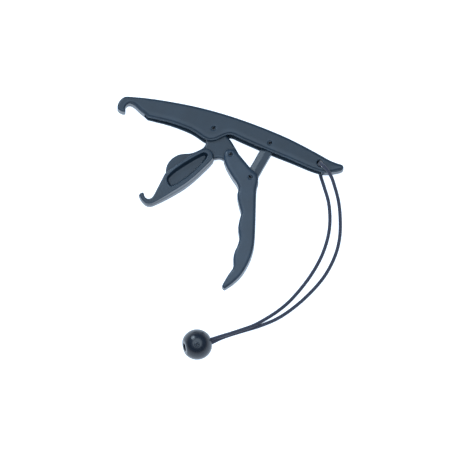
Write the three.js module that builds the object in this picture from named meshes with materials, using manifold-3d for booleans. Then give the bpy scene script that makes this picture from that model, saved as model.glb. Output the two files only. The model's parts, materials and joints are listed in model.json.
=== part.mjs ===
// A plastic fish-lip grip lying on its side: two hooked jaws, a squeeze handle, a toggle
// link and a looped lanyard with a stopper ball. Millimetres, +Z up. The grip's long side
// runs along X, its mid-plane is Z = MID, and the hinge pins stand parallel to Z.
import * as THREE from 'three';
import { mergeVertices } from 'three/addons/utils/BufferGeometryUtils.js';
import Module from 'manifold-3d';

const wasm = await Module();
wasm.setup();

// Driving dimensions
const MID = 12;            // height of the mid-plane above the ground
const GAP = 0.3;           // clearance between pieces that touch
const WALL = 3;            // side walls of the body
const ROOF = 4;            // back of the body above its channel
const PLATE = 10;          // thickness of the jaw's neck and of the link
const EAR_PLATE = 8;       // thickness of the jaw's thin ear
const FORK = PLATE + 2 * GAP;   // inside width of the fork and between the bosses
const PIN_R = 2.25;        // spring pins
const PIN_HOLLOW = 1.2;
const PIN_SLOT = 0.35;     // half width of a pin's slot, in radians at its rim
const PIN_LENGTH = 19.4;
const BORE_R = PIN_R + GAP;
const BOSS_R = 7;
const NECK_EYE_R = 7.6;
const NECK_SWEEP_R = 9.2;  // reach of the neck as it turns inside the fork
const JAW_EYE_R = 7.5;
const LINK_HALF = 6;       // half the link's width
const LINK_EYE_R = 7.2;    // the link's rear eye, hidden in the body
const LINK_DRIFT_R = 2.15; // how far the rear pin wanders inside that eye
const HOLE_R = 2.8;        // lanyard hole
const CORD_R = 1.8;
const CORD_SIDES = 8;
const CORD_STEPS = 80;
const BALL_R = 15.3;
const BALL_FLAT = 13.3;    // distance of the ball's two flats from its centre
const KNOT_R = 3.6;
const KNOT_DEPTH = 3.2;    // of the knot's middle below the ball's flat
const RECESS_R = 4;        // the ball's recess, where the knot sits
const RECESS_DEPTH = 6;
const FAR = 300;           // longer than any piece

// Pivots in the grip's plane
const JAW_PIVOT = [-17, 65.7];
const HANDLE_PIVOT = [0, 38.7];
const LINK_FRONT = [19.8, 15];
const LINK_REAR = [39.4, 50.5];
const LINK_EYE = [LINK_REAR[0] - 1.75, LINK_REAR[1] + 1.17];
const LANYARD_HOLE = [[89.3, 30.9], [90.1, 29]];

const BALL = new THREE.Vector3(-33.4, -156.3, BALL_R);
const BALL_AXIS = new THREE.Vector3(0.95, 0.27, -0.19).normalize();

const plastic = (color, roughness = 0.5) =>
  new THREE.MeshStandardMaterial({ color, roughness, metalness: 0 });
const MATERIALS = {
  body: plastic(0x41525f),
  handle: plastic(0x4a5a6c),
  steel: new THREE.MeshStandardMaterial({ color: 0x59626c, roughness: 0.4, metalness: 1 }),
  cord: plastic(0x262f42, 0.85),
  ball: plastic(0x161d28, 0.25),
};

// Turns a closed three.js geometry into a manifold solid.
function solid(geometry) {
  geometry.deleteAttribute('normal');
  geometry.deleteAttribute('uv');
  const merged = mergeVertices(geometry);
  return new wasm.Manifold(new wasm.Mesh({
    numProp: 3,
    vertProperties: new Float32Array(merged.attributes.position.array),
    triVerts: new Uint32Array(merged.index.array),
  }));
}

// Runs of points: each run is one smooth curve, and runs meet at corners.
function outline(runs) {
  const shape = new THREE.Shape();
  shape.moveTo(...runs[0][0]);
  for (const run of runs) {
    shape.splineThru(run.slice(1).map(([x, y]) => new THREE.Vector2(x, y)));
  }
  return shape;
}

const polygon = (points) => new THREE.Shape(points.map(([x, y]) => new THREE.Vector2(x, y)));

// A slab of an outline in the XY plane, centred on the mid-plane.
function slab(shape, thickness, middle = MID) {
  const geometry = new THREE.ExtrudeGeometry(shape, {
    depth: thickness, bevelEnabled: false, curveSegments: 2,
  });
  return solid(geometry.translate(0, 0, middle - thickness / 2));
}

function disc([x, y], radius, thickness, middle = MID, sides = 32) {
  const geometry = new THREE.CylinderGeometry(radius, radius, thickness, sides);
  return solid(geometry.rotateX(Math.PI / 2).translate(x, y, middle));
}

// Everything within a half thickness that varies along X: pairs of x and half thickness.
function thicknessAlongX(pairs) {
  const far = [...pairs].reverse().map(([x, half]) => [x, -half]);
  const geometry = new THREE.ExtrudeGeometry(polygon([...pairs, ...far]), {
    depth: FAR, bevelEnabled: false,
  });
  return solid(geometry.translate(0, 0, -FAR / 2).rotateX(Math.PI / 2).translate(0, 0, MID));
}

// The same for a half thickness that varies along Y.
function thicknessAlongY(pairs) {
  const far = [...pairs].reverse().map(([y, half]) => [-half, y]);
  const near = pairs.map(([y, half]) => [half, y]);
  const geometry = new THREE.ExtrudeGeometry(polygon([...near, ...far]), {
    depth: FAR, bevelEnabled: false,
  });
  return solid(geometry.translate(0, 0, -FAR / 2).rotateY(Math.PI / 2).translate(0, 0, MID));
}

// The upper jaw, channel and tail in one moulding.
const BACK_EDGE = [
  [-113.4, 87.5], [-113, 91.8], [-110.3, 96.3], [-105.6, 99.6], [-98, 99.3], [-80.4, 97.5],
  [-60.4, 94.1], [-30, 87.6], [0, 78.9], [30, 67.9], [60, 54.9], [85, 41.8], [98, 34.4],
  [106, 31], [111.5, 29.3], [113.4, 26.8], [111.8, 23.6], [107, 21.9], [98, 20.7], [91, 20.9],
];
const WALL_EDGE = [
  [91, 20.9], [80, 24.6], [60, 33.4], [40, 41.8], [20, 50.6], [9.6, 55.4], [3, 58.6],
  [-1.5, 59.4], [-6.6, 57.8], [-11.1, 55.5], [-15.6, 53.8], [-20, 53.2], [-24, 54],
  [-28, 56.1], [-36, 61.8], [-45, 66.4], [-60, 72], [-72, 75.2], [-83.1, 78],
];
const UPPER_HOOK = [
  [-83.1, 78], [-86.4, 81.2], [-91, 85], [-95, 89], [-98.8, 91.8], [-101.8, 92.2],
  [-104.2, 90.6], [-105.5, 87.6], [-104.9, 84.8], [-106, 83.4], [-108.6, 83.9],
  [-111.4, 85.3], [-113.4, 87.5],
];
const CHANNEL = [
  [-85.8, 90], [-79, 97.2 - ROOF], [-60.4, 94 - ROOF], [-30, 87.6 - ROOF], [0, 78.9 - ROOF],
  [30, 67.9 - ROOF], [60, 54.9 - ROOF], [80, 44.4 - ROOF], [87, 37], [91, 31],
  [91, 10], [0, 30], [-85.8, 60],
];

function channelSpace() {
  const inner = thicknessAlongX([
    [-86, 4.6], [-80, 5.2], [-45, 10 - WALL], [60, 10 - WALL], [92, 5],
  ]);
  return slab(polygon(CHANNEL), 2 * MID).intersect(inner);
}

function lanyardHole() {
  const [[x0, y0], [x1, y1]] = LANYARD_HOLE;
  const turn = Math.atan2(y1 - y0, x1 - x0);
  const length = Math.hypot(x1 - x0, y1 - y0);
  const between = new THREE.BoxGeometry(length, 2 * HOLE_R, 2 * MID);
  between.rotateZ(turn).translate((x0 + x1) / 2, (y0 + y1) / 2, MID);
  return disc([x0, y0], HOLE_R, 2 * MID)
    .add(disc([x1, y1], HOLE_R, 2 * MID))
    .add(solid(between));
}

function bosses(pivot) {
  const ring = 10 - WALL - FORK / 2;
  const offset = FORK / 2 + (ring + 1) / 2;
  return disc(pivot, BOSS_R, ring + 1, MID - offset).add(disc(pivot, BOSS_R, ring + 1, MID + offset));
}

function bodySolid() {
  const outer = slab(outline([BACK_EDGE, WALL_EDGE, UPPER_HOOK]), 2 * MID);
  const width = thicknessAlongX([
    [-114, 7], [-90, 7.8], [-79, 8.4], [-45, 10], [50, 10], [88, 8], [114, 6.5],
  ]);
  const shell = outer.intersect(width);
  return shell.subtract(channelSpace())
    .add(bosses(JAW_PIVOT).intersect(shell))
    .add(bosses(LINK_REAR).intersect(shell))
    .subtract(disc(JAW_PIVOT, BORE_R, 2 * MID))
    .subtract(disc(LINK_REAR, BORE_R, 2 * MID))
    .subtract(lanyardHole())
    .subtract(cordClearance());
}

// The lower jaw: a hooked arm with a recessed pad, a thin ear and a neck that holds two eyes.
const PAD_INSIDE = [
  [-91.8, -2], [-90.7, -0.6], [-88.8, 0.4], [-86.8, 0.2], [-86.2, -2.6], [-84.4, -5.3],
  [-81.6, -6.2], [-78.8, -5], [-76.5, -1.8], [-74.8, 1.6], [-70.5, 10], [-67, 16.9],
  [-64, 20.8], [-50.2, 30.6], [-40.6, 37.4], [-32, 42.2], [-25.4, 44.8], [-20.6, 43.3],
  [-17.5, 39.1], [-17, 34.4],
];
const PAD_OUTSIDE = [
  [-17, 34.4], [-20.2, 30.5], [-25.2, 25.3], [-35, 15.8], [-45, 7.6], [-55, 1.1],
  [-65.3, -5], [-75.8, -10.6], [-80.3, -12], [-84.4, -11.4], [-88.8, -7.6], [-91.8, -2],
];
const PAD_RECESS = [[
  [-64, 11.5], [-63.2, 15.8], [-55.4, 23.2], [-40.4, 33.2], [-30.4, 38.8], [-25.8, 40.2],
  [-22.6, 37.2], [-25.8, 31.6], [-35.4, 21.2], [-45.4, 13], [-55.4, 6.4], [-60.6, 5.4],
  [-64, 11.5],
]];
const EAR = [[
  [-65, 18], [-64.2, 27.6], [-59.8, 35], [-52.8, 39.8], [-46, 41.1], [-41, 41.4],
  [-36, 42.8], [-28.2, 46.6], [-25.6, 49.4],
], [[-25.6, 49.4], [-24, 40], [-40, 28], [-65, 18]]];
const NECK = [
  [[-24.4, 66.5], [-24.4, 54], [-25.2, 50.5], [-26.6, 47], [-24, 42], [-20, 38]],
  [[-20, 38], [-16.4, 35.6], [-12.4, 36.3], [-9, 35.8], [-5.8, 33.6], [-2, 30.6]],
  [[-2, 30.6], [8.3, 41]],
  [[8.3, 41], [5.4, 46.1], [2.2, 51.7], [-0.8, 56.3], [-5, 61.4], [-9.6, 66.5]],
  [[-9.6, 66.5], [-24.4, 66.5]],
];
const RECESS_FLOOR = 10;

function lowerJawSolid() {
  const width = thicknessAlongX([
    [-93, 6.5], [-82, 7.2], [-66, 10.4], [-56, MID], [0, MID],
  ]);
  const pad = slab(outline([PAD_INSIDE, PAD_OUTSIDE]), 2 * MID).intersect(width);
  const recess = slab(outline(PAD_RECESS), FAR).subtract(slab(outline(PAD_RECESS), RECESS_FLOOR));
  const neck = slab(outline(NECK), PLATE)
    .add(disc(JAW_PIVOT, JAW_EYE_R, PLATE))
    .add(disc(HANDLE_PIVOT, NECK_EYE_R, PLATE));
  return pad.subtract(recess)
    .add(slab(outline(EAR), EAR_PLATE))
    .add(neck)
    .subtract(disc(JAW_PIVOT, BORE_R, 2 * MID))
    .subtract(disc(HANDLE_PIVOT, BORE_R, 2 * MID));
}

// The squeeze handle, forked at the top and shaped for three fingers below.
const HANDLE_FRONT = [
  [-6.7, 38.7], [-6.5, 33], [-3.8, 25.4], [1.3, 16.2], [6, 9], [7.7, 3], [6.5, -4],
  [8.9, -15.4], [10.4, -21.6], [8.6, -29.3], [7.4, -38], [8.6, -46.5], [7.3, -53.7],
  [3.9, -61.7], [2.5, -69], [2.5, -77.2], [-2.4, -84.8], [-7.3, -93], [-8.8, -97],
  [-6, -99.3],
];
const HANDLE_BACK = [
  [-6, -99.3], [2.6, -93.2], [11, -84.6], [17.4, -73.8], [21.3, -64.3], [23.7, -53.7],
  [24.7, -40.6], [25.5, -15], [26, 2], [27.3, 9.5],
];
const HANDLE_TOP = [
  [27.3, 9.5], [28, 13.8], [27, 18.4], [24.3, 21.2], [19.7, 25.5], [10.5, 36.9], [5.8, 42.3],
  [1.6, 44.8], [-3.2, 44.2], [-6.1, 41.6], [-6.7, 38.7],
];
const FORK_SPACE = [
  [-14, 50], [-7.2, 33], [14.4, 10.8], [19.8, 8.1], [34, 4.6], [40, 60],
];

function handleSolid() {
  const width = thicknessAlongY([
    [-100, 5.6], [-94, 7], [-80, 8.4], [-50, 9.4], [-15, 10], [50, 10],
  ]);
  const space = slab(polygon(FORK_SPACE), FORK)
    .add(disc(HANDLE_PIVOT, NECK_SWEEP_R, FORK))
    .add(disc(LINK_FRONT, LINK_HALF + 3 * GAP, FORK));
  return slab(outline([HANDLE_FRONT, HANDLE_BACK, HANDLE_TOP]), 2 * MID).intersect(width)
    .subtract(space)
    .subtract(disc(HANDLE_PIVOT, BORE_R, 2 * MID))
    .subtract(disc(LINK_FRONT, BORE_R, 2 * MID));
}

// The toggle link. Its rear eye is oversize, because the real linkage closes there.
function toggleLinkSolid() {
  const [x0, y0] = LINK_FRONT;
  const [x1, y1] = LINK_REAR;
  const bar = new THREE.BoxGeometry(Math.hypot(x1 - x0, y1 - y0), 2 * LINK_HALF, PLATE);
  bar.rotateZ(Math.atan2(y1 - y0, x1 - x0)).translate((x0 + x1) / 2, (y0 + y1) / 2, MID);
  return disc(LINK_FRONT, LINK_HALF, PLATE)
    .add(solid(bar))
    .add(disc(LINK_EYE, LINK_EYE_R, PLATE))
    .subtract(disc(LINK_FRONT, BORE_R, 2 * MID))
    .subtract(disc(LINK_EYE, PIN_R + LINK_DRIFT_R + GAP, 2 * MID));
}

// A rolled spring pin: a C-shaped section with its slot facing SLOT radians.
function springPin([x, y], slot) {
  const shape = new THREE.Shape();
  shape.absarc(0, 0, PIN_R, slot + PIN_SLOT, slot + 2 * Math.PI - PIN_SLOT, false);
  shape.absarc(0, 0, PIN_HOLLOW, slot + 2 * Math.PI - 2 * PIN_SLOT, slot + 2 * PIN_SLOT, true);
  const geometry = new THREE.ExtrudeGeometry(shape, {
    depth: PIN_LENGTH, bevelEnabled: false, curveSegments: 10,
  });
  return solid(geometry.translate(x, y, MID - PIN_LENGTH / 2));
}

// The lanyard's cord: from its knot in the ball along the ground and beneath the tail, up
// through the lanyard hole, over the tail's near face and back to the ball.
const CORD_ROUTE = [
  [-41.6, -156.8, 17.4], [-20.8, -150.9, 13.3], [-10, -147.2, 12.3], [-0.5, -143.4, 9.1],
  [11.5, -138.6, 6.2], [23.5, -133.8, 5], [35.5, -126.4, 2.6], [47.5, -118.2, 2],
  [60.2, -107, 2], [79.8, -82.2, 2], [92.8, -57.3, 2], [99, -32.4, 2], [98.4, -7.6, 2],
  [93.4, 11.1, 2], [90.4, 21, 2], [89.4, 26.6, 3], [89.1, 29.6, 6.6], [89, 30.8, 13],
  [89.9, 29.9, 19.3], [91.9, 27.5, 22.1], [94.6, 24.5, 23], [97.4, 21.4, 21.9],
  [101, 16, 17.8], [104.6, 7, 10.5], [107.9, -4.5, 4.2], [109.7, -21, 2], [109.2, -42, 2],
  [105, -60, 2], [95.4, -80, 2], [83.4, -95.6, 2], [65.4, -113, 2], [47.4, -125.8, 2],
  [29.5, -133.7, 2], [11.5, -139.5, 2.5], [-0.5, -144.1, 5.4], [-10, -148.6, 8.9],
  [-20.8, -154.5, 12.3], [-41.6, -160.4, 16.4],
];

function cordTube(radius, sides) {
  const section = new THREE.Shape();
  for (let i = 0; i < sides; i += 1) {
    const angle = (2 * Math.PI * (i + 0.5)) / sides;
    const point = [radius * Math.cos(angle), radius * Math.sin(angle)];
    if (i === 0) section.moveTo(...point);
    else section.lineTo(...point);
  }
  const route = new THREE.CatmullRomCurve3(
    CORD_ROUTE.map(([x, y, z]) => new THREE.Vector3(x, y, z)), false, 'centripetal');
  return solid(new THREE.ExtrudeGeometry(section, { steps: CORD_STEPS, extrudePath: route }));
}

const cordClearance = () => cordTube(CORD_R + GAP, CORD_SIDES);

// Places a geometry built along +Y on the ball's axis, at a distance from its centre.
function onBallAxis(geometry, distance) {
  const turn = new THREE.Quaternion().setFromUnitVectors(new THREE.Vector3(0, 1, 0), BALL_AXIS);
  geometry.applyQuaternion(turn);
  const place = BALL.clone().addScaledVector(BALL_AXIS, distance);
  return solid(geometry.translate(place.x, place.y, place.z));
}

function ballSolid() {
  const sphere = onBallAxis(new THREE.SphereGeometry(BALL_R, 40, 24), 0);
  const between = onBallAxis(new THREE.CylinderGeometry(BALL_R, BALL_R, 2 * BALL_FLAT, 40), 0);
  const recess = new THREE.CylinderGeometry(RECESS_R, RECESS_R, 2 * RECESS_DEPTH, 24);
  return sphere.intersect(between)
    .subtract(onBallAxis(recess, -BALL_FLAT))
    .subtract(cordClearance());
}

function knotSolid() {
  const knot = new THREE.SphereGeometry(KNOT_R, 20, 12).scale(1, 0.62, 1);
  return onBallAxis(knot, KNOT_DEPTH - BALL_FLAT).subtract(cordClearance());
}

const grip = new THREE.Group();

function add(name, body, material) {
  const { vertProperties, triVerts } = body.getMesh();
  const geometry = new THREE.BufferGeometry();
  geometry.setAttribute('position', new THREE.BufferAttribute(vertProperties, 3));
  geometry.setIndex(new THREE.BufferAttribute(triVerts, 1));
  geometry.computeVertexNormals();
  const mesh = new THREE.Mesh(geometry, material);
  mesh.name = name;
  grip.add(mesh);
}

add('body', bodySolid(), MATERIALS.body);
add('lower_jaw', lowerJawSolid(), MATERIALS.body);
add('handle', handleSolid(), MATERIALS.handle);
add('toggle_link', toggleLinkSolid(), MATERIALS.handle);
add('jaw_pin', springPin(JAW_PIVOT, 0.9), MATERIALS.steel);
add('handle_pin', springPin(HANDLE_PIVOT, 0.9), MATERIALS.steel);
add('link_front_pin', springPin(LINK_FRONT, 2.3), MATERIALS.steel);
add('link_rear_pin', springPin(LINK_REAR, 0.1), MATERIALS.steel);
add('lanyard_cord', cordTube(CORD_R, CORD_SIDES), MATERIALS.cord);
add('lanyard_ball', ballSolid(), MATERIALS.ball);
add('cord_knot', knotSolid(), MATERIALS.cord);

export default grip;
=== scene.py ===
"""The looks of a fish-lip grip: its camera and light, a braided lanyard, and the moulded
plastic pieces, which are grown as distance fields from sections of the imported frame."""

import json
import math

import bpy
import numpy as np
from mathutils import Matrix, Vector


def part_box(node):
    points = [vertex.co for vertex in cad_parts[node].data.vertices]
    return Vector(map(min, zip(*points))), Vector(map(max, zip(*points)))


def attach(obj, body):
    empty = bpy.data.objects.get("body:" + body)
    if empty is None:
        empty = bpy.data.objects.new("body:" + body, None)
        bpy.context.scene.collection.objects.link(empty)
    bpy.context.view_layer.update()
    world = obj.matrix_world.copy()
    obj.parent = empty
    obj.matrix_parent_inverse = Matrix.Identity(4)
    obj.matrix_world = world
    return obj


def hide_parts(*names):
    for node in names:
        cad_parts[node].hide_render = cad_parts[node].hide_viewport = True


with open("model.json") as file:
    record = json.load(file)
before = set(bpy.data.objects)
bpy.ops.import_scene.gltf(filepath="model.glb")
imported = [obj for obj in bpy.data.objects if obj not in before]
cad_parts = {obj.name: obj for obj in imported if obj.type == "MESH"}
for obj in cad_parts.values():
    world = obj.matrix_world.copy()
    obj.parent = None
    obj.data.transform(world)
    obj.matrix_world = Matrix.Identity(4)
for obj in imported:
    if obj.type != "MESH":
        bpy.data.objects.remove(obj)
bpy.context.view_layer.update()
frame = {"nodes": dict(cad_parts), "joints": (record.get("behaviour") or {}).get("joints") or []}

MM = 0.001

# Places and sizes taken from the frame, in millimetres
JOINTS = {joint["name"]: np.array(joint["pos_m"]) / MM for joint in frame["joints"]}
JAW_PIVOT = JOINTS["jaw_hinge"]
HANDLE_PIVOT = JOINTS["handle_hinge"]
LINK_FRONT = JOINTS["link_hinge"]
MID = JAW_PIVOT[2]


def box_mm(node):
    low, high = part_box(node)
    return np.array(low) / MM, np.array(high) / MM


def centre_mm(node):
    low, high = box_mm(node)
    return (low + high) / 2


LINK_REAR = centre_mm("link_rear_pin")
BALL = np.array([-33.4, -156.3, 15.3])

# Sizes that the frame's pieces were designed to, in millimetres
CORD_R = 1.8
BALL_R = 15.3
BALL_FLAT = 13.3
BALL_AXIS = np.array([0.95, 0.27, -0.19])
BALL_AXIS = BALL_AXIS / np.linalg.norm(BALL_AXIS)
KNOT_DEPTH = 3.2
PIN_R = 2.25
PIN_HOLLOW = 1.2
BORE_R = 2.55
FORK_HALF = 5.3
PLATE_HALF = 5.0
EAR_HALF = 4.0
LINK_HALF = 6.0
LINK_EYE = LINK_REAR + np.array([-1.75, 1.17, 0])
LINK_EYE_R = 7.2
LINK_HOLE_R = 4.7
BOSS_R = 7
PIN_HALF = 9.7
RECESS_DEPTH = 6
CORD_BORE_R = 2.1
HOLE_R = 2.8
HOLE_START = np.array([89.3, 30.9])
HOLE_STRETCH = np.array([0.8, -1.9])

# Sizes that are drawn and aren't the frame's, in millimetres
BORE_TIGHTER = 0.25        # the body's and handle's bores are this much closer to their pins
SLOT_HALF = 0.42           # half the width of a pin's slot
RECESS_R = 3.8             # the ball's recess
KNOT_SWING = 0.74
KNOT_STRAND_R = 1.2

# Half thicknesses in millimetres, each with its place along the piece
BODY_HALF = [(-114, 7), (-90, 7.8), (-79, 8.4), (-45, 10), (50, 10), (88, 8), (114, 6.5)]
CHANNEL_HALF = [(-86, 4.6), (-80, 5.2), (-45, 7), (60, 7), (92, 5)]
PAD_HALF = [(-93, 6.5), (-82, 7.2), (-66, 10.4), (-56, 12), (0, 12)]
HANDLE_HALF = [(-100, 5.6), (-94, 7), (-80, 8.4), (-50, 9.4), (-15, 10), (50, 10)]

# The line in the grip's plane that parts the body's stepped lower side from its back
BODY_MIDDLE = [
    (-114, 86), (-107, 92), (-102, 96), (-95, 95), (-83, 88),
    (-40, 78), (0, 69), (40, 53), (80, 34), (114, 24),
]
RIM_INSET = 1.6
RIM_DROP = 1.7

DRAFT = 0.02               # sideways draw of the moulds, for each millimetre off the mid-plane

# The camera's angle above the table, and its distance and the width that it sees in metres
CAMERA_HEIGHT = math.radians(75)
CAMERA_DISTANCE = 20.0
VIEW_WIDTH = 0.45
SENSOR = 36

# The ring of the ball's gate faces the camera
GATE_AXIS = np.array([0, -math.cos(CAMERA_HEIGHT), math.sin(CAMERA_HEIGHT)])
GATE_R = 1.8
GATE_WIRE = 0.55           # radius of the ring's own section

# Light
LIGHT_COLOUR = (0.80, 0.96, 1.10)
FLOOR_GLOW = (0.74, 0.85, 1, 1)
FLOOR_GLOW_STRENGTH = 1.12
FLOOR_HALF = 9.0
WORLD_DIM = 0.15


# ---------------------------------------------------------------- camera, floor and light
def look_at(obj, target):
    direction = Vector(target) - obj.location
    obj.rotation_euler = direction.to_track_quat("-Z", "Y").to_euler()


def make_camera():
    target = Vector((-0.0055, -0.0320, 0.012))
    data = bpy.data.cameras.new("camera")
    data.sensor_width = SENSOR
    data.lens = SENSOR * CAMERA_DISTANCE / VIEW_WIDTH
    camera = bpy.data.objects.new("camera", data)
    away = Vector((0, -math.cos(CAMERA_HEIGHT), math.sin(CAMERA_HEIGHT)))
    camera.location = target + away * CAMERA_DISTANCE
    look_at(camera, target)
    bpy.context.scene.collection.objects.link(camera)
    bpy.context.scene.camera = camera


def softbox(name, place, size, radiance):
    """A round, cool soft light of a given diameter and brightness, turned to the object."""
    data = bpy.data.lights.new(name, "AREA")
    data.color = LIGHT_COLOUR
    data.shape = "DISK"
    data.size = size
    data.energy = radiance * math.pi * math.pi * size**2 / 4
    light = bpy.data.objects.new(name, data)
    light.location = place
    light.visible_camera = False
    look_at(light, (0, -0.03, 0))
    bpy.context.scene.collection.objects.link(light)


def floor_material():
    """A cool light table: it glows, so that shadows on it stay faint."""
    material = bpy.data.materials.new("pale_floor")
    material.use_nodes = True
    shader = material.node_tree.nodes["Principled BSDF"]
    shader.inputs["Base Color"].default_value = (0.6, 0.6, 0.6, 1)
    shader.inputs["Roughness"].default_value = 0.9
    shader.inputs["Specular IOR Level"].default_value = 0.1
    shader.inputs["Emission Color"].default_value = FLOOR_GLOW
    shader.inputs["Emission Strength"].default_value = FLOOR_GLOW_STRENGTH
    return material


def studio_world():
    """A dim studio with a pale band along its horizon, where the table's edge would show."""
    world = bpy.data.worlds.new("studio")
    world.use_nodes = True
    tree = world.node_tree
    background = tree.nodes["Background"]
    background.inputs["Color"].default_value = (1, 1, 1, 1)
    direction = tree.nodes.new("ShaderNodeTexCoord")
    split = tree.nodes.new("ShaderNodeSeparateXYZ")
    tree.links.new(direction.outputs["Generated"], split.inputs["Vector"])
    band = tree.nodes.new("ShaderNodeMapRange")
    band.inputs["From Min"].default_value = 0.14
    band.inputs["From Max"].default_value = 0.24
    band.inputs["To Min"].default_value = 1.0
    band.inputs["To Max"].default_value = WORLD_DIM
    tree.links.new(split.outputs["Z"], band.inputs["Value"])
    tree.links.new(band.outputs["Result"], background.inputs["Strength"])
    return world


def make_stage():
    bpy.context.scene.world = studio_world()
    bpy.context.scene.view_settings.view_transform = "Standard"
    mesh = bpy.data.meshes.new("floor")
    half = FLOOR_HALF
    mesh.from_pydata([(-half, -half, 0), (half, -half, 0), (half, half, 0), (-half, half, 0)],
                     [], [(0, 1, 2, 3)])
    mesh.materials.append(floor_material())
    floor = bpy.data.objects.new("floor", mesh)
    bpy.context.scene.collection.objects.link(floor)
    softbox("overhead", (0, -0.16, 0.9), 1.3, 2.3)
    softbox("side", (-0.50, 0.50, 0.66), 0.4, 9.0)


# ---------------------------------------------------------------- materials
def plastic_material(name, colour, roughness, grain=0.12, gloss=0.4):
    """Moulded plastic: cloudy colour, spark-eroded grain, and sharp edges painted paler, part wear
    and part painted highlight.
    """
    material = bpy.data.materials.new(name)
    material.use_nodes = True
    tree = material.node_tree
    nodes = tree.nodes
    links = tree.links
    shader = nodes["Principled BSDF"]
    shader.inputs["Specular IOR Level"].default_value = gloss
    place = nodes.new("ShaderNodeTexCoord")
    cloud = nodes.new("ShaderNodeTexNoise")
    cloud.inputs["Scale"].default_value = 55
    cloud.inputs["Detail"].default_value = 4
    fine = nodes.new("ShaderNodeTexNoise")
    fine.inputs["Scale"].default_value = 1900
    fine.inputs["Detail"].default_value = 3
    for texture in (cloud, fine):
        links.new(place.outputs["Object"], texture.inputs["Vector"])
    ramp = nodes.new("ShaderNodeValToRGB")
    ramp.color_ramp.elements[0].position = 0.3
    ramp.color_ramp.elements[1].position = 0.7
    ramp.color_ramp.elements[0].color = (*[c * 0.88 for c in colour], 1)
    ramp.color_ramp.elements[1].color = (*[c * 1.12 for c in colour], 1)
    links.new(cloud.outputs["Fac"], ramp.inputs["Fac"])
    # Mixes sharp convex edges towards a paler colour: part wear, part painted highlight along the
    # rims.
    wear_and_painted_highlight = nodes.new("ShaderNodeMix")
    wear_and_painted_highlight.data_type = "RGBA"
    wear_and_painted_highlight.inputs["B"].default_value = (*[c * 2.6 + 0.01 for c in colour], 1)
    edge = nodes.new("ShaderNodeAttribute")
    edge.attribute_name = "edge"
    amount = nodes.new("ShaderNodeMath")
    amount.operation = "MULTIPLY"
    links.new(edge.outputs["Fac"], amount.inputs[0])
    links.new(cloud.outputs["Fac"], amount.inputs[1])
    links.new(ramp.outputs["Color"], wear_and_painted_highlight.inputs["A"])
    links.new(amount.outputs["Value"], wear_and_painted_highlight.inputs["Factor"])
    links.new(wear_and_painted_highlight.outputs["Result"], shader.inputs["Base Color"])
    rough = nodes.new("ShaderNodeMapRange")
    rough.inputs["To Min"].default_value = roughness * 0.85
    rough.inputs["To Max"].default_value = roughness * 1.15
    links.new(fine.outputs["Fac"], rough.inputs["Value"])
    links.new(rough.outputs["Result"], shader.inputs["Roughness"])
    bump = nodes.new("ShaderNodeBump")
    bump.inputs["Strength"].default_value = grain
    bump.inputs["Distance"].default_value = 0.0002
    links.new(fine.outputs["Fac"], bump.inputs["Height"])
    links.new(bump.outputs["Normal"], shader.inputs["Normal"])
    return material


def steel_material():
    material = bpy.data.materials.new("spring_steel")
    material.use_nodes = True
    tree = material.node_tree
    shader = tree.nodes["Principled BSDF"]
    shader.inputs["Metallic"].default_value = 1
    place = tree.nodes.new("ShaderNodeTexCoord")
    noise = tree.nodes.new("ShaderNodeTexNoise")
    noise.inputs["Scale"].default_value = 900
    noise.inputs["Detail"].default_value = 5
    tree.links.new(place.outputs["Object"], noise.inputs["Vector"])
    ramp = tree.nodes.new("ShaderNodeValToRGB")
    ramp.color_ramp.elements[0].color = (0.012, 0.016, 0.022, 1)
    ramp.color_ramp.elements[1].color = (0.075, 0.09, 0.11, 1)
    tree.links.new(noise.outputs["Fac"], ramp.inputs["Fac"])
    tree.links.new(ramp.outputs["Color"], shader.inputs["Base Color"])
    rough = tree.nodes.new("ShaderNodeMapRange")
    rough.inputs["To Min"].default_value = 0.3
    rough.inputs["To Max"].default_value = 0.55
    tree.links.new(noise.outputs["Fac"], rough.inputs["Value"])
    tree.links.new(rough.outputs["Result"], shader.inputs["Roughness"])
    return material


def cord_material():
    """Braided polyester: paler crowns on each carrier, painted shade between them, and a soft sheen.
    """
    material = bpy.data.materials.new("braided_cord")
    material.use_nodes = True
    tree = material.node_tree
    shader = tree.nodes["Principled BSDF"]
    shader.inputs["Sheen Weight"].default_value = 0.25
    shader.inputs["Sheen Roughness"].default_value = 0.5
    shader.inputs["Roughness"].default_value = 0.8
    crown = tree.nodes.new("ShaderNodeAttribute")
    crown.attribute_name = "edge"
    # Painted shade: dark where the carriers dip between crowns, and on the knot away from its convex
    # parts.
    ramp = tree.nodes.new("ShaderNodeValToRGB")
    ramp.color_ramp.elements[0].color = (0.006, 0.008, 0.016, 1)
    ramp.color_ramp.elements[1].color = (0.034, 0.042, 0.078, 1)
    tree.links.new(crown.outputs["Fac"], ramp.inputs["Fac"])
    tree.links.new(ramp.outputs["Color"], shader.inputs["Base Color"])
    place = tree.nodes.new("ShaderNodeTexCoord")
    fibre = tree.nodes.new("ShaderNodeTexNoise")
    fibre.inputs["Scale"].default_value = 4000
    tree.links.new(place.outputs["Object"], fibre.inputs["Vector"])
    bump = tree.nodes.new("ShaderNodeBump")
    bump.inputs["Strength"].default_value = 0.3
    bump.inputs["Distance"].default_value = 0.0001
    tree.links.new(fibre.outputs["Fac"], bump.inputs["Height"])
    tree.links.new(bump.outputs["Normal"], shader.inputs["Normal"])
    return material


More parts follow.
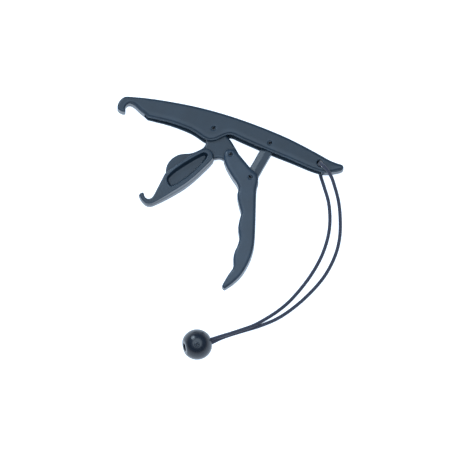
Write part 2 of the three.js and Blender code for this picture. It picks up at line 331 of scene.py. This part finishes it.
# ---------------------------------------------------------------- meshes
def make_object(name, vertices, faces, edge, material, body, stands_for):
    """A smooth mesh piece in metres from vertices in millimetres and a list of faces."""
    mesh = bpy.data.meshes.new(name)
    mesh.from_pydata((vertices * MM).tolist(), [], faces)
    # The edge attribute carries painted highlight on sharp plastic edges and painted shade between
    # the cord's carriers.
    layer = mesh.attributes.new("edge", "FLOAT", "POINT")
    layer.data.foreach_set("value", np.asarray(edge, np.float32))
    mesh.polygons.foreach_set("use_smooth", np.ones(len(mesh.polygons), bool))
    mesh.materials.append(material)
    mesh.update()
    obj = bpy.data.objects.new(name, mesh)
    bpy.context.scene.collection.objects.link(obj)
    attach(obj, body)
    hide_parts(stands_for)
    return obj


# ---------------------------------------------------------------- lanyard cord
# The cord's route, from its knot in the ball along the ground and beneath the tail, up
# through the lanyard hole, over the tail's near face and back to the ball, in metres.
CORD_ROUTE = [
    (-0.0416, -0.1568, 0.0174), (-0.0208, -0.1509, 0.0133), (-0.0100, -0.1472, 0.0123),
    (-0.0005, -0.1434, 0.0091), (0.0115, -0.1386, 0.0062), (0.0235, -0.1338, 0.0050),
    (0.0355, -0.1264, 0.0026), (0.0475, -0.1182, 0.0020), (0.0602, -0.1070, 0.0020),
    (0.0798, -0.0822, 0.0020), (0.0928, -0.0573, 0.0020), (0.0990, -0.0324, 0.0020),
    (0.0984, -0.0076, 0.0020), (0.0934, 0.0111, 0.0020), (0.0904, 0.0210, 0.0020),
    (0.0894, 0.0266, 0.0030), (0.0891, 0.0296, 0.0066), (0.0890, 0.0308, 0.0130),
    (0.0899, 0.0299, 0.0193), (0.0919, 0.0275, 0.0221), (0.0946, 0.0245, 0.0230),
    (0.0974, 0.0214, 0.0219), (0.1010, 0.0160, 0.0178), (0.1046, 0.0070, 0.0105),
    (0.1079, -0.0045, 0.0042), (0.1097, -0.0210, 0.0020), (0.1092, -0.0420, 0.0020),
    (0.1050, -0.0600, 0.0020), (0.0954, -0.0800, 0.0020), (0.0834, -0.0956, 0.0020),
    (0.0654, -0.1130, 0.0020), (0.0474, -0.1258, 0.0020), (0.0295, -0.1337, 0.0020),
    (0.0115, -0.1395, 0.0025), (-0.0005, -0.1441, 0.0054), (-0.0100, -0.1486, 0.0089),
    (-0.0208, -0.1545, 0.0123), (-0.0416, -0.1604, 0.0164),
]


def smooth_route(points, step):
    """A centripetal Catmull-Rom curve through the points, resampled at an even step."""
    points = np.asarray(points, float)
    points = np.vstack([2 * points[0] - points[1], points, 2 * points[-1] - points[-2]])
    curve = []
    for p0, p1, p2, p3 in zip(points, points[1:], points[2:], points[3:]):
        t0 = 0.0
        t1 = t0 + np.linalg.norm(p1 - p0) ** 0.5
        t2 = t1 + np.linalg.norm(p2 - p1) ** 0.5
        t3 = t2 + np.linalg.norm(p3 - p2) ** 0.5
        t = np.linspace(t1, t2, 24, endpoint=False)[:, None]
        a1 = (t1 - t) / (t1 - t0) * p0 + (t - t0) / (t1 - t0) * p1
        a2 = (t2 - t) / (t2 - t1) * p1 + (t - t1) / (t2 - t1) * p2
        a3 = (t3 - t) / (t3 - t2) * p2 + (t - t2) / (t3 - t2) * p3
        b1 = (t2 - t) / (t2 - t0) * a1 + (t - t0) / (t2 - t0) * a2
        b2 = (t3 - t) / (t3 - t1) * a2 + (t - t1) / (t3 - t1) * a3
        curve.append((t2 - t) / (t2 - t1) * b1 + (t - t1) / (t2 - t1) * b2)
    curve = np.vstack([*curve, points[-2][None]])
    along = np.concatenate([[0], np.cumsum(np.linalg.norm(np.diff(curve, axis=0), axis=1))])
    even = np.linspace(0, along[-1], max(2, round(along[-1] / step) + 1))
    return np.column_stack([np.interp(even, along, curve[:, i]) for i in range(3)]), along[-1]


def sweep_frames(path):
    """Tangent, and two normals carried along the path without twist."""
    tangent = np.gradient(path, axis=0)
    tangent /= np.linalg.norm(tangent, axis=1)[:, None]
    normal = np.zeros_like(path)
    start = np.cross(tangent[0], (0, 0, 1.0))
    normal[0] = start / np.linalg.norm(start)
    for i in range(1, len(path)):
        carried = normal[i - 1] - tangent[i] * np.dot(normal[i - 1], tangent[i])
        normal[i] = carried / np.linalg.norm(carried)
    return tangent, normal, np.cross(tangent, normal)


def make_cord(material):
    """A braid of 16 carriers: two families of 8 cross over and under each other."""
    ring_step = 0.45
    sides = 32
    carriers = 8
    pitch = 9.0
    depth = 0.16
    path, length = smooth_route(np.array(CORD_ROUTE) / MM, ring_step)
    _, normal, side = sweep_frames(path)
    along = np.linspace(0, length, len(path))[:, None]
    angle = (np.arange(sides) * 2 * math.pi / sides)[None, :]
    turn = 2 * math.pi * along / pitch
    left = carriers * (angle + turn)
    right = carriers * (angle - turn)
    over = np.cos(left / 2 + right / 2) * np.cos(left / 2 - right / 2)
    crown = np.where(over > 0, np.abs(np.cos(left / 2)), np.abs(np.cos(right / 2)))
    radius = CORD_R - depth * (1 - crown)
    vertices = (path[:, None, :] + radius[..., None] * (
        np.cos(angle)[..., None] * normal[:, None, :] + np.sin(angle)[..., None] * side[:, None, :]))
    rings = len(path)
    i, j = np.meshgrid(np.arange(rings - 1), np.arange(sides), indexing="ij")
    k = (j + 1) % sides
    faces = np.stack([i * sides + j, i * sides + k, (i + 1) * sides + k, (i + 1) * sides + j], -1)
    vertices = np.vstack([vertices.reshape(-1, 3), path[:1], path[-1:]])
    centre = rings * sides
    last = (rings - 1) * sides
    caps = [(centre, (n + 1) % sides, n) for n in range(sides)]
    caps += [(centre + 1, last + n, last + (n + 1) % sides) for n in range(sides)]
    # The crowns go to the edge attribute, which the cord's material turns into painted shade between
    # the carriers.
    edge = np.concatenate([crown.ravel(), [0, 0]])
    cord = make_object("braided_lanyard", vertices, faces.reshape(-1, 4).tolist() + caps, edge,
                       material, "frame", "lanyard_cord")
    return cord, path * MM, length * MM


# ---------------------------------------------------------------- sections of the frame
def section(node, height):
    """The closed outlines, in millimetres, where a level plane cuts a node."""
    mesh = frame["nodes"][node].data
    mesh.calc_loop_triangles()
    points = np.zeros(len(mesh.vertices) * 3)
    mesh.vertices.foreach_get("co", points)
    points = points.reshape(-1, 3) / MM
    triangles = np.zeros(len(mesh.loop_triangles) * 3, int)
    mesh.loop_triangles.foreach_get("vertices", triangles)
    following = {}
    for a, b, c in points[triangles.reshape(-1, 3)]:
        ends = {}
        for p, q in ((a, b), (b, c), (c, a)):
            if (p[2] < height) != (q[2] < height):
                cut = p + (q - p) * (height - p[2]) / (q[2] - p[2])
                ends[p[2] < height] = (round(cut[0], 3), round(cut[1], 3))
        if len(ends) == 2 and ends[True] != ends[False]:
            following[ends[True]] = ends[False]
    loops = []
    while following:
        start, here = following.popitem()
        loop = [start]
        while here in following:
            loop.append(here)
            here = following.pop(here)
        loop.append(here)
        if len(loop) > 6:
            loops.append(np.array(loop))
    return loops


def loop_area(loop):
    x, y = loop[:, 0], loop[:, 1]
    return 0.5 * np.sum(x * np.roll(y, -1) - y * np.roll(x, -1))


def smooth_loop(loop, corner=40.0, spacing=0.8):
    """The loop with its facets turned back into curves. Turns sharper than corner stay sharp."""
    if np.linalg.norm(loop[0] - loop[-1]) < 1e-2:
        loop = loop[:-1]
    before = loop - np.roll(loop, 1, axis=0)
    loop = loop[np.linalg.norm(before, axis=1) > 0.02]
    before = loop - np.roll(loop, 1, axis=0)
    after = np.roll(loop, -1, axis=0) - loop
    turn = np.degrees(np.arctan2(
        before[:, 0] * after[:, 1] - before[:, 1] * after[:, 0], np.sum(before * after, axis=1)))
    keep = np.abs(turn) > 0.08
    loop = loop[keep]
    sharp = np.abs(turn[keep]) > corner
    count = len(loop)
    points = []
    for i in range(count):
        p1 = loop[i]
        p2 = loop[(i + 1) % count]
        p0 = 2 * p1 - p2 if sharp[i] else loop[i - 1]
        p3 = 2 * p2 - p1 if sharp[(i + 1) % count] else loop[(i + 2) % count]
        steps = max(1, int(np.linalg.norm(p2 - p1) / spacing))
        d0, d1, d2 = (max(1e-3, np.linalg.norm(q - p) ** 0.5)
                      for p, q in ((p0, p1), (p1, p2), (p2, p3)))
        m1 = d1 * ((p1 - p0) / d0 - (p2 - p0) / (d0 + d1) + (p2 - p1) / d1)
        m2 = d1 * ((p2 - p1) / d1 - (p3 - p1) / (d1 + d2) + (p3 - p2) / d2)
        for s in np.arange(steps) / steps:
            points.append((2 * s**3 - 3 * s**2 + 1) * p1 + (s**3 - 2 * s**2 + s) * m1
                          + (3 * s**2 - 2 * s**3) * p2 + (s**3 - s**2) * m2)
    return np.array(points)


def outer_loops(loops, least=60.0):
    """The loops that bound material from outside: the largest, and those wound like it."""
    largest = max(loops, key=lambda loop: abs(loop_area(loop)))
    way = np.sign(loop_area(largest))
    return [loop for loop in loops if loop_area(loop) * way > least]


def inner_loops(loops, least=60.0):
    largest = max(loops, key=lambda loop: abs(loop_area(loop)))
    way = np.sign(loop_area(largest))
    return [loop for loop in loops if loop_area(loop) * way < -least]


# ---------------------------------------------------------------- distance fields
class Field:
    """A grid of signed distances in millimetres, negative inside the piece."""

    def __init__(self, low, high, step):
        self.low = np.asarray(low, float) - 2.5 * step
        self.step = step
        counts = np.ceil((np.asarray(high) - self.low) / step + 3.5).astype(int)
        axes = [self.low[i] + step * np.arange(counts[i]) for i in range(3)]
        self.x = axes[0][:, None, None].astype(np.float32)
        self.y = axes[1][None, :, None].astype(np.float32)
        self.z = axes[2][None, None, :].astype(np.float32)
        self.across = np.abs(self.z - MID)

    def plan(self, loops):
        """Distance to the loops in the XY plane, negative inside them."""
        x = self.x[:, :, 0] + 0 * self.y[:, :, 0]
        y = self.y[:, :, 0] + 0 * self.x[:, :, 0]
        nearest = np.full(x.shape, 1e9, np.float32)
        inside = np.zeros(x.shape, bool)
        for loop in loops:
            for (x1, y1), (x2, y2) in zip(loop, np.roll(loop, -1, axis=0)):
                dx, dy = x2 - x1, y2 - y1
                t = np.clip(((x - x1) * dx + (y - y1) * dy) / (dx * dx + dy * dy + 1e-12), 0, 1)
                away = (x - x1 - t * dx) ** 2 + (y - y1 - t * dy) ** 2
                nearest = np.minimum(nearest, away)
                if y1 != y2:
                    crosses = (y1 > y) != (y2 > y)
                    inside ^= crosses & (x < x1 + (y - y1) * dx / dy)
        distance = np.sqrt(nearest)
        return np.where(inside, -distance, distance)[:, :, None]

    def round_from(self, place):
        """Distance in the XY plane from a pin's axis."""
        return np.hypot(self.x - place[0], self.y - place[1])


def rounded(side, face, side_radius, face_radius):
    """An extrusion with elliptically rounded edges, from its side and face distances."""
    a = side / side_radius + 1
    b = face / face_radius + 1
    outside = np.sqrt(np.maximum(a, 0) ** 2 + np.maximum(b, 0) ** 2)
    return (np.minimum(np.maximum(a, b), 0) + outside - 1) * np.minimum(side_radius, face_radius)


def blend_join(a, b, radius):
    mix = np.clip(0.5 + 0.5 * (b - a) / radius, 0, 1)
    return b + (a - b) * mix - radius * mix * (1 - mix)


def blend_cut(a, b, radius):
    """a with b taken away, and the edge between them eased."""
    return -blend_join(-a, b, radius)


def sample(values, places):
    """Values of a grid at fractional grid places."""
    places = np.clip(places, 0, np.array(values.shape) - 1.001)
    base = places.astype(int)
    part = places - base
    total = 0
    for dx in (0, 1):
        for dy in (0, 1):
            for dz in (0, 1):
                weight = (np.abs(1 - dx - part[:, 0]) * np.abs(1 - dy - part[:, 1])
                          * np.abs(1 - dz - part[:, 2]))
                total = total + weight * values[base[:, 0] + dx, base[:, 1] + dy, base[:, 2] + dz]
    return total


def box_blur(values, reach):
    for axis in range(3):
        padded = np.concatenate([
            np.repeat(np.take(values, [0], axis), reach + 1, axis), values,
            np.repeat(np.take(values, [-1], axis), reach, axis)], axis)
        total = np.cumsum(padded, axis=axis, dtype=np.float64)
        width = 2 * reach + 1
        count = values.shape[axis]
        ends = np.take(total, range(width, width + count), axis)
        starts = np.take(total, range(count), axis)
        values = ((ends - starts) / width).astype(np.float32)
    return values


def surface(field, values):
    """Vertices and quads of the zero level, by surface nets, pulled onto the level."""
    inside = values < 0
    corners = [(a, b, c) for a in (0, 1) for b in (0, 1) for c in (0, 1)]
    shape = tuple(n - 1 for n in values.shape)
    filled = np.zeros(shape, np.uint8)
    for a, b, c in corners:
        filled += inside[a:a + shape[0], b:b + shape[1], c:c + shape[2]]
    active = (filled > 0) & (filled < 8)
    cells = np.argwhere(active)
    number = np.full(shape, -1, np.int64)
    number[active] = np.arange(len(cells))
    total = np.zeros((len(cells), 3))
    crossings = np.zeros(len(cells))
    for a in corners:
        for axis in range(3):
            if a[axis]:
                continue
            b = list(a)
            b[axis] = 1
            at = cells + a
            to = cells + b
            va = values[at[:, 0], at[:, 1], at[:, 2]]
            vb = values[to[:, 0], to[:, 1], to[:, 2]]
            crossed = (va < 0) != (vb < 0)
            share = np.where(crossed, va / np.where(crossed, va - vb, 1), 0)
            point = np.array(a, float) + share[:, None] * (np.array(b) - np.array(a))
            total += point * crossed[:, None]
            crossings += crossed
    places = cells + total / crossings[:, None]
    for _ in range(2):
        slope = np.zeros_like(places)
        for axis in range(3):
            shift = np.zeros(3)
            shift[axis] = 0.5
            slope[:, axis] = sample(values, places + shift) - sample(values, places - shift)
        length = np.maximum(np.linalg.norm(slope, axis=1), 1e-6)[:, None]
        height = sample(values, places)[:, None]
        places = places - np.clip(height / length, -0.4, 0.4) * slope / length
    quads = []
    for axis in range(3):
        u, v = [i for i in range(3) if i != axis]
        near = [slice(None)] * 3
        near[axis] = slice(0, -1)
        far = [slice(None)] * 3
        far[axis] = slice(1, None)
        changed = inside[tuple(near)] != inside[tuple(far)]
        at = np.argwhere(changed)
        at = at[(at[:, u] > 0) & (at[:, v] > 0) & (at[:, u] < shape[u]) & (at[:, v] < shape[v])]
        solid_first = inside[at[:, 0], at[:, 1], at[:, 2]]
        ring = []
        for du, dv in ((-1, -1), (0, -1), (0, 0), (-1, 0)):
            cell = at.copy()
            cell[:, u] += du
            cell[:, v] += dv
            ring.append(number[cell[:, 0], cell[:, 1], cell[:, 2]])
        ring = np.stack(ring, 1)
        flip = solid_first if axis != 1 else ~solid_first
        ring[~flip] = ring[~flip][:, ::-1]
        quads.append(ring)
    return places * field.step + field.low, np.vstack(quads), places


def grow(name, field, values, material, body, slot, stands_for):
    """Turns a field into a piece, with its convex edges marked: the plastics paint them paler, part
    wear and part painted highlight, and the knot's cord paints shade away from them.
    """
    values = np.broadcast_to(values, (field.x.size, field.y.size, field.z.size))
    values = np.ascontiguousarray(values, dtype=np.float32)
    vertices, faces, places = surface(field, values)
    reach = max(1, round(0.8 / field.step))
    blurred = box_blur(np.clip(values, -3, 3), reach)
    edge = np.clip(sample(blurred, places) / (0.35 * reach * field.step), 0, 1)
    return make_object(name, vertices, faces.tolist(), edge, material, body, stands_for)


# ---------------------------------------------------------------- moulded pieces
def eased_profile(pairs, places, ease=9.0):
    """Piecewise values along an axis with their corners eased."""
    offsets = np.linspace(-ease, ease, 7)
    return np.mean([np.interp(places + o, *zip(*pairs)) for o in offsets], axis=0)


def body_field():
    """The body: a channel whose lower side is a stepped rim, with bosses round its pins."""
    low, high = box_mm("body")
    field = Field(low, high, 0.6)
    outline = [smooth_loop(loop) for height in (MID - 6.4, MID - 8.3)
               for loop in outer_loops(section("body", height))]
    side = np.minimum.reduce([field.plan([loop]) for loop in outline])
    core = field.plan([smooth_loop(loop) for loop in outer_loops(section("body", MID + 0.1))])
    half = eased_profile(BODY_HALF, field.x)
    inner = eased_profile(CHANNEL_HALF, field.x)
    middle = eased_profile(BODY_MIDDLE, field.x, 2)
    below = np.clip((middle - field.y) / 3 + 0.5, 0, 1)
    behind_hook = np.clip((field.x + 88) / 8, 0, 1)
    side_radius = 1.8 + behind_hook * (1.0 + 1.7 * below)
    face_radius = 1.6 + behind_hook * (0.6 - 0.6 * below)
    draft = DRAFT * field.across
    inset = RIM_INSET * below * np.clip((field.x + 108) / 10, 0, 1)
    shell = rounded(side + draft + inset, field.across - half, side_radius, face_radius)
    shell = np.minimum(shell, rounded(side + draft, field.across - half + RIM_DROP, 0.2, 0.2))
    channel = np.maximum(-core, field.across - inner)
    values = blend_cut(shell, channel, 0.5)
    for pivot in (JAW_PIVOT, LINK_REAR):
        boss = np.maximum(field.round_from(pivot) - BOSS_R, FORK_HALF - field.across)
        values = np.minimum(values, np.maximum(boss, shell + 0.6))
        values = blend_cut(values, field.round_from(pivot) - BORE_R + BORE_TIGHTER, 0.3)
    return field, values


def hang_hole(field, values):
    """The lanyard hole, stretched a little towards the way that the cord leaves."""
    dx = field.x - HOLE_START[0]
    dy = field.y - HOLE_START[1]
    t = (dx * HOLE_STRETCH[0] + dy * HOLE_STRETCH[1]) / np.dot(HOLE_STRETCH, HOLE_STRETCH)
    t = np.clip(t, 0, 1)
    away = np.hypot(dx - t * HOLE_STRETCH[0], dy - t * HOLE_STRETCH[1])
    return blend_cut(values, away - HOLE_R, 0.8)


def lower_jaw_field():
    """The lower jaw: a hooked pad with a pocket in each face, a thin ear and a neck plate."""
    low, high = box_mm("lower_jaw")
    field = Field(low, high, 0.6)
    pad_cut = section("lower_jaw", MID - 6)
    pad = field.plan([smooth_loop(loop) for loop in outer_loops(pad_cut)])
    recess = field.plan([smooth_loop(loop) for loop in inner_loops(pad_cut)])
    neck = field.plan([smooth_loop(loop) for loop in outer_loops(section("lower_jaw", MID - 4.5))])
    ear = field.plan([smooth_loop(loop) for loop in outer_loops(section("lower_jaw", MID - 3))])
    half = eased_profile(PAD_HALF, field.x, 5)
    draft = DRAFT * field.across
    block = rounded(pad + 2.5 * draft, field.across - half, 1.3, 1.0)
    pocket = np.maximum(recess + 0.25 * (PAD_HALF[-1][1] - field.across), PLATE_HALF - field.across)
    values = blend_cut(block, pocket, 0.5)
    plate = rounded(neck + draft, field.across - PLATE_HALF, 2.2, 2.4)
    thin = rounded(ear + draft, field.across - EAR_HALF, 1.2, 1.2)
    values = blend_join(values, np.minimum(plate, thin), 0.9)
    for pivot in (JAW_PIVOT, HANDLE_PIVOT):
        values = np.maximum(values, BORE_R - field.round_from(pivot))
    return field, values


def handle_field():
    """The handle: forked at both of its pivots, with waves for the fingers."""
    low, high = box_mm("handle")
    field = Field(low, high, 0.55)
    side = field.plan([smooth_loop(loop) for loop in outer_loops(section("handle", MID - 5.45))])
    core = field.plan([smooth_loop(loop) for loop in outer_loops(section("handle", MID + 0.1))])
    half = eased_profile(HANDLE_HALF, field.y)
    draft = DRAFT * field.across
    shell = rounded(side + draft, field.across - half, 4.2, 2.4)
    values = blend_cut(shell, np.maximum(-core, field.across - FORK_HALF), 0.5)
    for pivot in (HANDLE_PIVOT, LINK_FRONT):
        values = blend_cut(values, field.round_from(pivot) - BORE_R + BORE_TIGHTER, 0.3)
    return field, values


def link_field():
    """The link: a flat bar, planed down on one side of the ridge along its middle."""
    low, high = box_mm("toggle_link")
    field = Field(low, high, 0.4)
    reach = LINK_REAR[:2] - LINK_FRONT[:2]
    length = np.linalg.norm(reach)
    reach = reach / length
    dx = field.x - LINK_FRONT[0]
    dy = field.y - LINK_FRONT[1]
    ahead = dx * reach[0] + dy * reach[1]
    left = dy * reach[0] - dx * reach[1]
    bar = np.hypot(ahead - np.clip(ahead, 0, length), left) - LINK_HALF
    side = np.minimum(bar, field.round_from(LINK_EYE) - LINK_EYE_R)
    half = PLATE_HALF - 0.35 * np.clip(left, 0, LINK_HALF)
    values = rounded(side + DRAFT * field.across, field.across - half, 0.6, 0.6)
    values = np.maximum(values, BORE_R - field.round_from(LINK_FRONT))
    return field, np.maximum(values, LINK_HOLE_R - field.round_from(LINK_EYE))


def pin_field(place, slot):
    """A rolled pin: a tube whose slot faces the angle slot."""
    field = Field([place[0] - PIN_R, place[1] - PIN_R, MID - PIN_HALF],
                  [place[0] + PIN_R, place[1] + PIN_R, MID + PIN_HALF], 0.16)
    away = field.round_from(place)
    rim = rounded(away - PIN_R, field.across - PIN_HALF, 0.4, 0.4)
    values = np.maximum(rim, PIN_HOLLOW - away)
    dx = field.x - place[0]
    dy = field.y - place[1]
    reach = dx * math.cos(slot) + dy * math.sin(slot)
    offset = np.abs(dy * math.cos(slot) - dx * math.sin(slot))
    return field, np.maximum(values, -np.maximum(offset - SLOT_HALF, -reach))


def along_axis(field, centre, axis):
    """Distances along and off an axis through a centre."""
    dx, dy, dz = field.x - centre[0], field.y - centre[1], field.z - centre[2]
    reach = dx * axis[0] + dy * axis[1] + dz * axis[2]
    return reach, np.sqrt(np.maximum(dx * dx + dy * dy + dz * dz - reach**2, 0))


def ball_field(path):
    """A ball with two flats, a recess for the knot, the cord's bore and its gate's ring."""
    field = Field(BALL - BALL_R, BALL + BALL_R, 0.3)
    reach, off_axis = along_axis(field, BALL, BALL_AXIS)
    span = np.hypot(reach, off_axis)
    values = rounded(span - BALL_R, np.abs(reach) - BALL_FLAT, 0.6, 0.6)
    above, off_gate = along_axis(field, BALL, GATE_AXIS)
    gate_height = math.sqrt((BALL_R - 0.2)**2 - GATE_R**2)
    ring = np.hypot(off_gate - GATE_R, above - gate_height) - GATE_WIRE
    values = blend_join(values, ring, 0.2)
    values = blend_cut(values, np.maximum(off_gate - 1.0, BALL_R - 1.2 - above), 0.2)
    values = blend_cut(values, np.maximum(off_axis - RECESS_R, reach + BALL_FLAT - RECESS_DEPTH), 0.5)
    bore = np.full(values.shape, 1e9, np.float32)
    for x, y, z in path[(path[:, 0] < BALL[0] + 20)][::4]:
        near = np.sqrt((field.x - x) ** 2 + (field.y - y) ** 2 + (field.z - z) ** 2)
        bore = np.minimum(bore, near)
    return field, blend_cut(values, bore - CORD_BORE_R, 0.6)


def knot_field():
    """An overhand knot drawn tight, as a closed curve wound round the ball's axis."""
    centre = BALL + BALL_AXIS * (KNOT_DEPTH - BALL_FLAT)
    field = Field(centre - 5, centre + 5, 0.25)
    across = np.cross(BALL_AXIS, (0, 0, 1.0))
    across = across / np.linalg.norm(across)
    upward = np.cross(BALL_AXIS, across)
    values = np.full((field.x.size, field.y.size, field.z.size), 1e9, np.float32)
    for t in np.linspace(0, 2 * math.pi, 120, endpoint=False):
        swing = KNOT_SWING * (2 + math.cos(3 * t))
        point = (centre + across * swing * math.cos(2 * t) + upward * swing * math.sin(2 * t)
                 + BALL_AXIS * KNOT_SWING * math.sin(3 * t))
        near = np.sqrt((field.x - point[0])**2 + (field.y - point[1])**2
                       + (field.z - point[2])**2)
        values = np.minimum(values, near)
    return field, values - KNOT_STRAND_R


make_camera()
make_stage()
BODY_PLASTIC = plastic_material("body_plastic", (0.009, 0.022, 0.039), 0.36)
HANDLE_PLASTIC = plastic_material("handle_plastic", (0.016, 0.032, 0.054), 0.36)
BALL_PLASTIC = plastic_material("ball_plastic", (0.004, 0.010, 0.020), 0.26, 0.02, 0.5)
STEEL = steel_material()
CORD = cord_material()

cord, cord_path, cord_length = make_cord(CORD)

body_grid, body_values = body_field()
grow("body_moulding", body_grid, hang_hole(body_grid, body_values), BODY_PLASTIC, "frame",
     "body_plastic", "body")
grow("lower_jaw_moulding", *lower_jaw_field(), BODY_PLASTIC, "lower_jaw", "body_plastic",
     "lower_jaw")
grow("handle_moulding", *handle_field(), HANDLE_PLASTIC, "handle", "handle_plastic", "handle")
grow("link_moulding", *link_field(), BODY_PLASTIC, "toggle_link", "handle_plastic",
     "toggle_link")
for node, place, slot, body in (
    ("jaw_pin", JAW_PIVOT, 0.9, "frame"), ("handle_pin", HANDLE_PIVOT, 0.9, "handle"),
    ("link_front_pin", LINK_FRONT, 2.3, "handle"), ("link_rear_pin", LINK_REAR, 0.1, "frame"),
):
    grow(node + "_steel", *pin_field(place, slot), STEEL, body, "pin_steel", node)
ball = grow("stopper_ball", *ball_field(cord_path / MM), BALL_PLASTIC, "frame", "ball_plastic",
            "lanyard_ball")
knot = grow("knotted_end", *knot_field(), CORD, "frame", "cord_fabric", "cord_knot")
